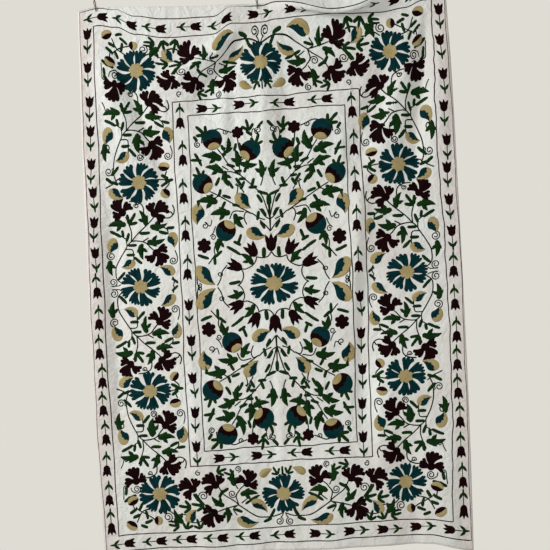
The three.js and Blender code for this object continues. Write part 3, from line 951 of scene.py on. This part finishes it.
# corners of each frame of line, across and down; the second one wanders on the right
FRAMES = [
    [(-722, TOP_OUTER_LINE), (723, TOP_OUTER_LINE), (723, 1028), (-722, 1028)],
    [(-668, TOP_INNER_LINE), (673, TOP_INNER_LINE), (659, -546), (673, 235), (653, 968), (-668, 968)],
    [(-362, -714), (373, -714), (354, 713), (-362, 713)],
    [(-303, -656), (314, -656), (297, 655), (-303, 655)],
]
WAVER = 2.4
# columns: share of the waver, how fast the wave turns along a line
WAVER_WAVES = ((1.0, 9), (0.7, 23), (0.4, 61))
LINE_STEP = 6.0
for corners in FRAMES:
    for (from_a, from_d), (to_a, to_d) in zip(corners, corners[1:] + corners[:1]):
        run = np.array([to_a - from_a, to_d - from_d])
        length = np.hypot(*run)
        t = np.linspace(0, 1, int(length / LINE_STEP))
        phase = chance.uniform(0, 6.28, 3)
        waves = sum(share * np.sin(t * speed + start) for (share, speed), start in zip(WAVER_WAVES, phase))
        aside = (WAVER * waves * np.sin(np.pi * t) ** 0.3)[:, None] * turned(run / length)
        path = np.array([from_a, from_d]) + t[:, None] * run + aside
        sew(line("line", path, width=4.6, height=0.5, smoothed=False), as_drawn)

# %% [markdown]
# The cloth itself becomes a closed thin sheet with a front and a back, so that it has an edge and looks
# right from behind. The stitching goes through: each patch has a low back on the other side of the cloth.

# %% Build the sheet
COLUMNS = 194
ROW_BANDS = [
    # columns: from down, to down, rows
    (TOP_EDGE, TOP_OUTER_LINE, 6), (TOP_OUTER_LINE, TOP_INNER_LINE, 20), (TOP_INNER_LINE, BOTTOM_EDGE, 214),
]
HEM = {"width": 9.0, "rise": 0.35}


def grid_faces(rows, columns, start, backwards):
    """Corner numbers of every square of a grid of points."""
    r, c = np.meshgrid(np.arange(rows - 1), np.arange(columns - 1), indexing="ij")
    at = start + r * columns + c
    square = np.stack([at, at + columns, at + columns + 1, at + 1], axis=-1).reshape(-1, 4)
    return square[:, ::-1] if backwards else square


def rim_faces(rows, columns, front, back):
    """Squares that join the outer points of two grids."""
    numbers = np.arange(rows * columns).reshape(rows, columns)
    loop = np.concatenate([numbers[:-1, 0], numbers[-1, :-1], numbers[:0:-1, -1], numbers[0, :0:-1]])
    ahead = np.roll(loop, -1)
    return np.stack([front + loop, back + loop, back + ahead, front + ahead], axis=-1)


def mesh_piece(name, points, faces, uv):
    mesh = bpy.data.meshes.new(name)
    mesh.vertices.add(len(points))
    mesh.vertices.foreach_set("co", points.astype(np.float32).ravel())
    mesh.loops.add(faces.size)
    mesh.loops.foreach_set("vertex_index", faces.ravel().astype(np.int32))
    mesh.polygons.add(len(faces))
    mesh.polygons.foreach_set("loop_start", np.arange(0, faces.size, 4, dtype=np.int32))
    mesh.polygons.foreach_set("use_smooth", np.ones(len(faces), dtype=bool))
    mesh.update(calc_edges=True)
    layer = mesh.uv_layers.new(name="flat")
    layer.data.foreach_set("uv", (uv[faces.ravel()] * MM).astype(np.float32).ravel())
    mesh.validate()
    piece = bpy.data.objects.new(name, mesh)
    bpy.context.scene.collection.objects.link(piece)
    return piece


across_places = np.linspace(-HALF_WIDTH, HALF_WIDTH, COLUMNS + 1)
down_places = np.concatenate([[TOP_EDGE]] + [np.linspace(a, b, n + 1)[1:] for a, b, n in ROW_BANDS])
down_grid, across_grid = (g.ravel() for g in np.meshgrid(down_places, across_places, indexing="ij"))
sheet_surface, sheet_normal = hang_with_normal(across_grid, down_grid)
to_edge = np.minimum.reduce([HALF_WIDTH - np.abs(across_grid), BOTTOM_EDGE - down_grid, down_grid - TOP_EDGE])
hem = HEM["rise"] * smooth(1.5 - to_edge / HEM["width"]) * smooth(to_edge / 2 + 0.3)
offset = (THICKNESS / 2 + hem)[:, None] * MM
points = np.concatenate([sheet_surface + sheet_normal * offset, sheet_surface - sheet_normal * offset])
flat_uv = np.tile(np.stack([across_grid, down_grid], axis=-1), (2, 1))
rows, columns = len(down_places), len(across_places)
half = rows * columns
faces = np.concatenate([
    grid_faces(rows, columns, 0, False),
    grid_faces(rows, columns, half, True),
    rim_faces(rows, columns, 0, half),
])
sheet = mesh_piece("cotton_sheet", points, faces, flat_uv)
print("sheet:", len(points), "points")

# %% Build the stitching, one piece for each thread
BACK = {"start": 0.12, "share": 0.3}


def on_sheet(across, down):
    """Points and normals on the sheet's own grid, mixed from the four corners of the square at each place,
    so that no stitch sinks where the sheet's squares cut a fold short."""
    column = np.clip(np.searchsorted(across_places, across, side="right") - 1, 0, columns - 2)
    row = np.clip(np.searchsorted(down_places, down, side="right") - 1, 0, rows - 2)
    u = (across - across_places[column]) / (across_places[column + 1] - across_places[column])
    v = (down - down_places[row]) / (down_places[row + 1] - down_places[row])
    corner = row * columns + column
    shares = {0: (1 - u) * (1 - v), 1: u * (1 - v), columns: (1 - u) * v, columns + 1: u * v}
    place = sum(share[:, None] * sheet_surface[corner + step] for step, share in shares.items())
    facing = sum(share[:, None] * sheet_normal[corner + step] for step, share in shares.items())
    return place, facing / np.linalg.norm(facing, axis=1, keepdims=True)


pieces = {}
for thread, kept in stitched.items():
    flat = np.concatenate([spots.reshape(-1, 2) for spots, _, _ in kept])
    heights = np.concatenate([h.ravel() for _, h, _ in kept])
    stitch_uv = np.concatenate([rows_of_stitch.reshape(-1, 2) for _, _, rows_of_stitch in kept])
    surface, normal = on_sheet(flat[:, 0], flat[:, 1])
    front = surface + normal * ((THICKNESS / 2 + heights) * MM)[:, None]
    behind = THICKNESS / 2 + BACK["start"] + BACK["share"] * (heights - RIM)
    back = surface - normal * (behind * MM)[:, None]
    faces, start = [], 0
    for spots, _, _ in kept:
        n, m = spots.shape[:2]
        faces += [grid_faces(n, m, start, False), grid_faces(n, m, start + len(flat), True)]
        faces.append(rim_faces(n, m, start, start + len(flat)))
        start += n * m
    uv = np.tile(stitch_uv, (2, 1))
    points = np.concatenate([front, back])
    pieces[thread] = mesh_piece("stitching_" + thread, points, np.concatenate(faces), uv)
print("triangles in each thread:", {name: 2 * len(p.data.polygons) for name, p in pieces.items()})

# %% [markdown]
# Cotton cloth is a plain weave: yarns go over and under each other, a little uneven in thickness.
# Chain stitch is a row of small loops, each caught by the next. Both are made from the flat coordinates,
# so they follow the folds. Each is a node group that any material can share, as the six threads do.

# %% Node helpers
def linear(red, green, blue):
    """Screen colour from 0 to 255 to the linear values that a shader takes."""
    share = np.array([red, green, blue]) / 255
    return (*np.where(share <= 0.04045, share / 12.92, ((share + 0.055) / 1.055) ** 2.4), 1.0)


def node(tree, kind, inputs=None, **settings):
    """A new node; each input is given a value, or the output it is joined to."""
    made = tree.nodes.new(kind)
    for name, value in settings.items():
        setattr(made, name, value)
    for name, value in (inputs or {}).items():
        if isinstance(value, bpy.types.NodeSocket):
            tree.links.new(value, made.inputs[name])
        else:
            made.inputs[name].default_value = value
    return made


def calculate(tree, operation, *values):
    return node(tree, "ShaderNodeMath", dict(enumerate(values)), operation=operation).outputs[0]


def noise(tree, vector, scale, detail, **more):
    inputs = {"Vector": vector, "Scale": scale, "Detail": detail, **more}
    return node(tree, "ShaderNodeTexNoise", inputs).outputs["Fac"]


def remap(tree, value, start=(0.0, 1.0), goal=(0.0, 1.0)):
    """Moves a value from one range to another and keeps it inside."""
    ends = {"From Min": start[0], "From Max": start[1], "To Min": goal[0], "To Max": goal[1]}
    return node(tree, "ShaderNodeMapRange", {"Value": value, **ends}).outputs[0]


def bump(tree, height, strength, distance, **more):
    inputs = {"Strength": strength, "Distance": distance, "Height": height, **more}
    return node(tree, "ShaderNodeBump", inputs).outputs[0]


def group_tree(name, inputs, outputs):
    tree = bpy.data.node_groups.new(name, "ShaderNodeTree")
    for socket, kind, value in inputs:
        made = tree.interface.new_socket(socket, in_out="INPUT", socket_type=kind)
        if value is not None:
            made.default_value = value
    for socket in outputs:
        tree.interface.new_socket(socket, in_out="OUTPUT", socket_type="NodeSocketFloat")
    return tree, tree.nodes.new("NodeGroupInput"), tree.nodes.new("NodeGroupOutput")


def plain_weave():
    """Yarns over and under each other: the product of a wave across and a wave down."""
    tree, given, result = group_tree(
        "plain weave",
        [("Vector", "NodeSocketVector", None), ("Yarns", "NodeSocketFloat", 700.0)],
        ["Height", "Shade"],
    )
    parts = node(tree, "ShaderNodeSeparateXYZ", {0: given.outputs["Vector"]})
    turn = calculate(tree, "MULTIPLY", given.outputs["Yarns"], np.pi)
    waves = [calculate(tree, "SINE", calculate(tree, "MULTIPLY", parts.outputs[i], turn)) for i in (0, 1)]
    weave = calculate(tree, "MULTIPLY", *waves)
    slubs = noise(tree, given.outputs["Vector"], 160.0, 3.0)
    height = calculate(tree, "ADD", calculate(tree, "MULTIPLY", weave, 0.35), slubs)
    tree.links.new(height, result.inputs["Height"])
    tree.links.new(slubs, result.inputs["Shade"])
    return tree


def chain_stitch():
    """Rows of loops. Across a row the height is one less the distance from its middle; along it the loops
    repeat, pointed because the repeat is shifted by that distance."""
    tree, given, result = group_tree(
        "chain stitch",
        [
            ("Vector", "NodeSocketVector", None),
            ("Row", "NodeSocketFloat", 0.0024),
            ("Loop", "NodeSocketFloat", 0.0042),
        ],
        ["Height", "Row Shade"],
    )
    parts = node(tree, "ShaderNodeSeparateXYZ", {0: given.outputs["Vector"]})
    row = calculate(tree, "DIVIDE", parts.outputs[1], given.outputs["Row"])
    within = calculate(tree, "ABSOLUTE", calculate(tree, "SUBTRACT", calculate(tree, "FRACT", row), 0.5))
    loop = calculate(tree, "ADD", calculate(tree, "DIVIDE", parts.outputs[0], given.outputs["Loop"]), within)
    link = calculate(tree, "ABSOLUTE", calculate(tree, "SUBTRACT", calculate(tree, "FRACT", loop), 0.5))
    ridge = calculate(tree, "SUBTRACT", 1.0, calculate(tree, "MULTIPLY", within, 1.6))
    height = calculate(tree, "SUBTRACT", ridge, calculate(tree, "MULTIPLY", link, 0.7))
    whole = {"W": calculate(tree, "FLOOR", row)}
    shade = node(tree, "ShaderNodeTexWhiteNoise", whole, noise_dimensions="1D").outputs["Value"]
    tree.links.new(height, result.inputs["Height"])
    tree.links.new(shade, result.inputs["Row Shade"])
    return tree


WEAVE, STITCH = plain_weave(), chain_stitch()


def new_material(name):
    material = bpy.data.materials.new(name)
    material.use_nodes = True
    tree = material.node_tree
    return material, tree, tree.nodes["Principled BSDF"]


def mixed(tree, share, first, second, **more):
    """A colour between two colours, or one times the other."""
    return node(tree, "ShaderNodeMix", {0: share, 6: first, 7: second}, data_type="RGBA", **more).outputs[2]


# %% Cotton
COTTON = linear(222, 226, 224)
COTTON_WARM = linear(215, 213, 210)
COTTON_SIDE = linear(212, 205, 201)
COTTON_STAIN = linear(198, 190, 178)


def cotton_material():
    material, tree, shader = new_material("cotton_cloth")
    flat = node(tree, "ShaderNodeUVMap", uv_map="flat").outputs[0]
    weave = node(tree, "ShaderNodeGroup", {}, node_tree=WEAVE)
    tree.links.new(flat, weave.inputs["Vector"])
    patchy = remap(tree, noise(tree, flat, 3.2, 4.0), (0.38, 0.68))
    colour = mixed(tree, patchy, COTTON, COTTON_WARM)
    across = calculate(tree, "ABSOLUTE", node(tree, "ShaderNodeSeparateXYZ", {0: flat}).outputs[0])
    colour = mixed(tree, remap(tree, across, (0.64, 0.73)), colour, COTTON_SIDE)
    stain = remap(tree, noise(tree, flat, 9.0, 2.0), (0.68, 0.8), (0.0, 0.35))
    colour = mixed(tree, stain, colour, COTTON_STAIN)
    yarn = remap(tree, weave.outputs["Shade"], goal=(0.93, 1.05))
    colour = mixed(tree, 1.0, colour, yarn, blend_type="MULTIPLY")
    tree.links.new(colour, shader.inputs["Base Color"])
    soft = bump(tree, noise(tree, flat, 30.0, 5.0, Distortion=0.8), 0.9, 0.008)
    fine = bump(tree, weave.outputs["Height"], 0.3, 0.0003, Normal=soft)
    tree.links.new(fine, shader.inputs["Normal"])
    shader.inputs["Roughness"].default_value = 0.92
    shader.inputs["Specular IOR Level"].default_value = 0.25
    shader.inputs["Sheen Weight"].default_value = 0.15
    return material


sheet.data.materials.append(cotton_material())

# %% Threads
THREAD_COLOURS = {
    "teal": (linear(0, 32, 36), linear(6, 54, 58)),
    "maroon": (linear(14, 0, 2), linear(30, 4, 6)),
    "green": (linear(9, 38, 10), linear(24, 60, 22)),
    "straw": (linear(146, 132, 90), linear(182, 165, 121)),
    "dark": (linear(10, 26, 10), linear(24, 38, 20)),
    "line": (linear(30, 16, 16), linear(50, 32, 30)),
}


def thread_material(thread):
    """Thread in rows of loops, each row a little lighter or darker, with patches of wear."""
    material, tree, shader = new_material("thread_" + thread)
    base, light = THREAD_COLOURS[thread]
    rows_of_stitch = node(tree, "ShaderNodeUVMap", uv_map="flat").outputs[0]
    stitch = node(tree, "ShaderNodeGroup", {}, node_tree=STITCH)
    tree.links.new(rows_of_stitch, stitch.inputs["Vector"])
    place = node(tree, "ShaderNodeTexCoord").outputs["Object"]
    worn = remap(tree, noise(tree, place, 22.0, 4.0), (0.35, 0.75))
    share = calculate(tree, "MULTIPLY", calculate(tree, "ADD", worn, stitch.outputs["Row Shade"]), 0.5)
    tree.links.new(mixed(tree, share, base, light), shader.inputs["Base Color"])
    tree.links.new(bump(tree, stitch.outputs["Height"], 0.8, 0.0006), shader.inputs["Normal"])
    shader.inputs["Roughness"].default_value = 0.85
    shader.inputs["Specular IOR Level"].default_value = 0.06
    return material


for thread, piece in pieces.items():
    piece.data.materials.append(thread_material(thread))

# %% [markdown]
# The hangers are dull twisted wire, darkened with age, so the metal is rough and patchy.

# %% Hanger wire
def wire_material():
    material, tree, shader = new_material("hanger_wire")
    place = node(tree, "ShaderNodeTexCoord").outputs["Object"]
    age = noise(tree, place, 140.0, 5.0)
    tree.links.new(mixed(tree, age, linear(58, 52, 46), linear(96, 86, 74)), shader.inputs["Base Color"])
    tree.links.new(remap(tree, age, goal=(0.4, 0.75)), shader.inputs["Roughness"])
    tree.links.new(bump(tree, age, 0.4, 0.0004), shader.inputs["Normal"])
    shader.inputs["Metallic"].default_value = 0.7
    return material


WIRE_FINISH = wire_material()
HANGERS = ["hanger_left", "hanger_centre", "hanger_right"]
for name in HANGERS:
    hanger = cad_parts[name]
    hanger.data.materials.clear()
    hanger.data.materials.append(WIRE_FINISH)
    hanger.data.polygons.foreach_set("use_smooth", np.ones(len(hanger.data.polygons), dtype=bool))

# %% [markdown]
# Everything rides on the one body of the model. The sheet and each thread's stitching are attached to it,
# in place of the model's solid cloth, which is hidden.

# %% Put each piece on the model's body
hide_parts("cloth")
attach(sheet, "root")
for thread, piece in pieces.items():
    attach(piece, "root")

# %% [markdown]
# The photo was taken straight on, from about three metres, with soft daylight from the upper left.
# A lamp at the left gives the folds their faint shading. A wide lamp in front and a pale surround fill
# the shadows.

# %% Floor, light and camera
FLOOR_DROP = 0.2
FLOOR = {"half_width": 1.7, "front": -2.0, "back": 0.35}
AIM = np.array([0.0165, 0.0, -1.1365])
CAMERA_DISTANCE = 3.0
LENS = 50.35
ROLL = 0.05061

low = CAD_BOX[0][2] - FLOOR_DROP
floor_mesh = bpy.data.meshes.new("floor")
floor_ends = ((-1, "front"), (1, "front"), (1, "back"), (-1, "back"))
floor_corners = [(x * FLOOR["half_width"], FLOOR[y], low) for x, y in floor_ends]
floor_mesh.from_pydata(floor_corners, [], [(0, 1, 2, 3)])
floor = bpy.data.objects.new("floor", floor_mesh)
bpy.context.scene.collection.objects.link(floor)
floor_material, _, floor_shader = new_material("floor")
floor_shader.inputs["Base Color"].default_value = linear(206, 202, 194)
floor_shader.inputs["Roughness"].default_value = 0.9
floor_mesh.materials.append(floor_material)


def area_light(name, place, target, size, power, colour):
    """A square lamp at a place, turned towards a target."""
    lamp = bpy.data.lights.new(name, "AREA")
    lamp.size = size
    lamp.energy = power
    lamp.color = colour
    holder = bpy.data.objects.new(name, lamp)
    back = np.array(place) - np.array(target)
    right = np.cross([0, 0, 1], back)
    up = np.cross(back, right)
    axes = [v / np.linalg.norm(v) for v in (right, up, back)]
    turn = np.array(axes).T
    holder.matrix_world = Matrix([[*turn[i], place[i]] for i in range(3)] + [[0, 0, 0, 1]])
    bpy.context.scene.collection.objects.link(holder)


area_light("window light", (-4.4, -2.0, 1.0), AIM, 1.4, 235, (1.0, 0.99, 0.98))
area_light("soft front light", (1.2, -4.0, -2.0), AIM, 3.0, 64, (1.0, 0.985, 0.97))

world = bpy.data.worlds.new("pale room")
world.use_nodes = True
SURROUND = {"seen": 0.97, "light": 0.42}
surround = world.node_tree.nodes["Background"]
surround.inputs["Color"].default_value = linear(226, 223, 214)
seen = node(world.node_tree, "ShaderNodeLightPath").outputs["Is Camera Ray"]
strength = remap(world.node_tree, seen, goal=(SURROUND["light"], SURROUND["seen"]))
world.node_tree.links.new(strength, surround.inputs["Strength"])
bpy.context.scene.world = world
bpy.context.scene.view_settings.view_transform = "Standard"

camera_data = bpy.data.cameras.new("camera")
camera_data.lens = LENS
camera = bpy.data.objects.new("camera", camera_data)
right = np.array([np.cos(ROLL), 0, -np.sin(ROLL)])
up = np.array([np.sin(ROLL), 0, np.cos(ROLL)])
eye = AIM + np.array([0, -CAMERA_DISTANCE, 0])
back = np.array([0.0, -1.0, 0.0])
camera.matrix_world = Matrix([[right[i], up[i], back[i], eye[i]] for i in range(3)] + [[0, 0, 0, 1]])
bpy.context.scene.collection.objects.link(camera)
bpy.context.scene.camera = camera
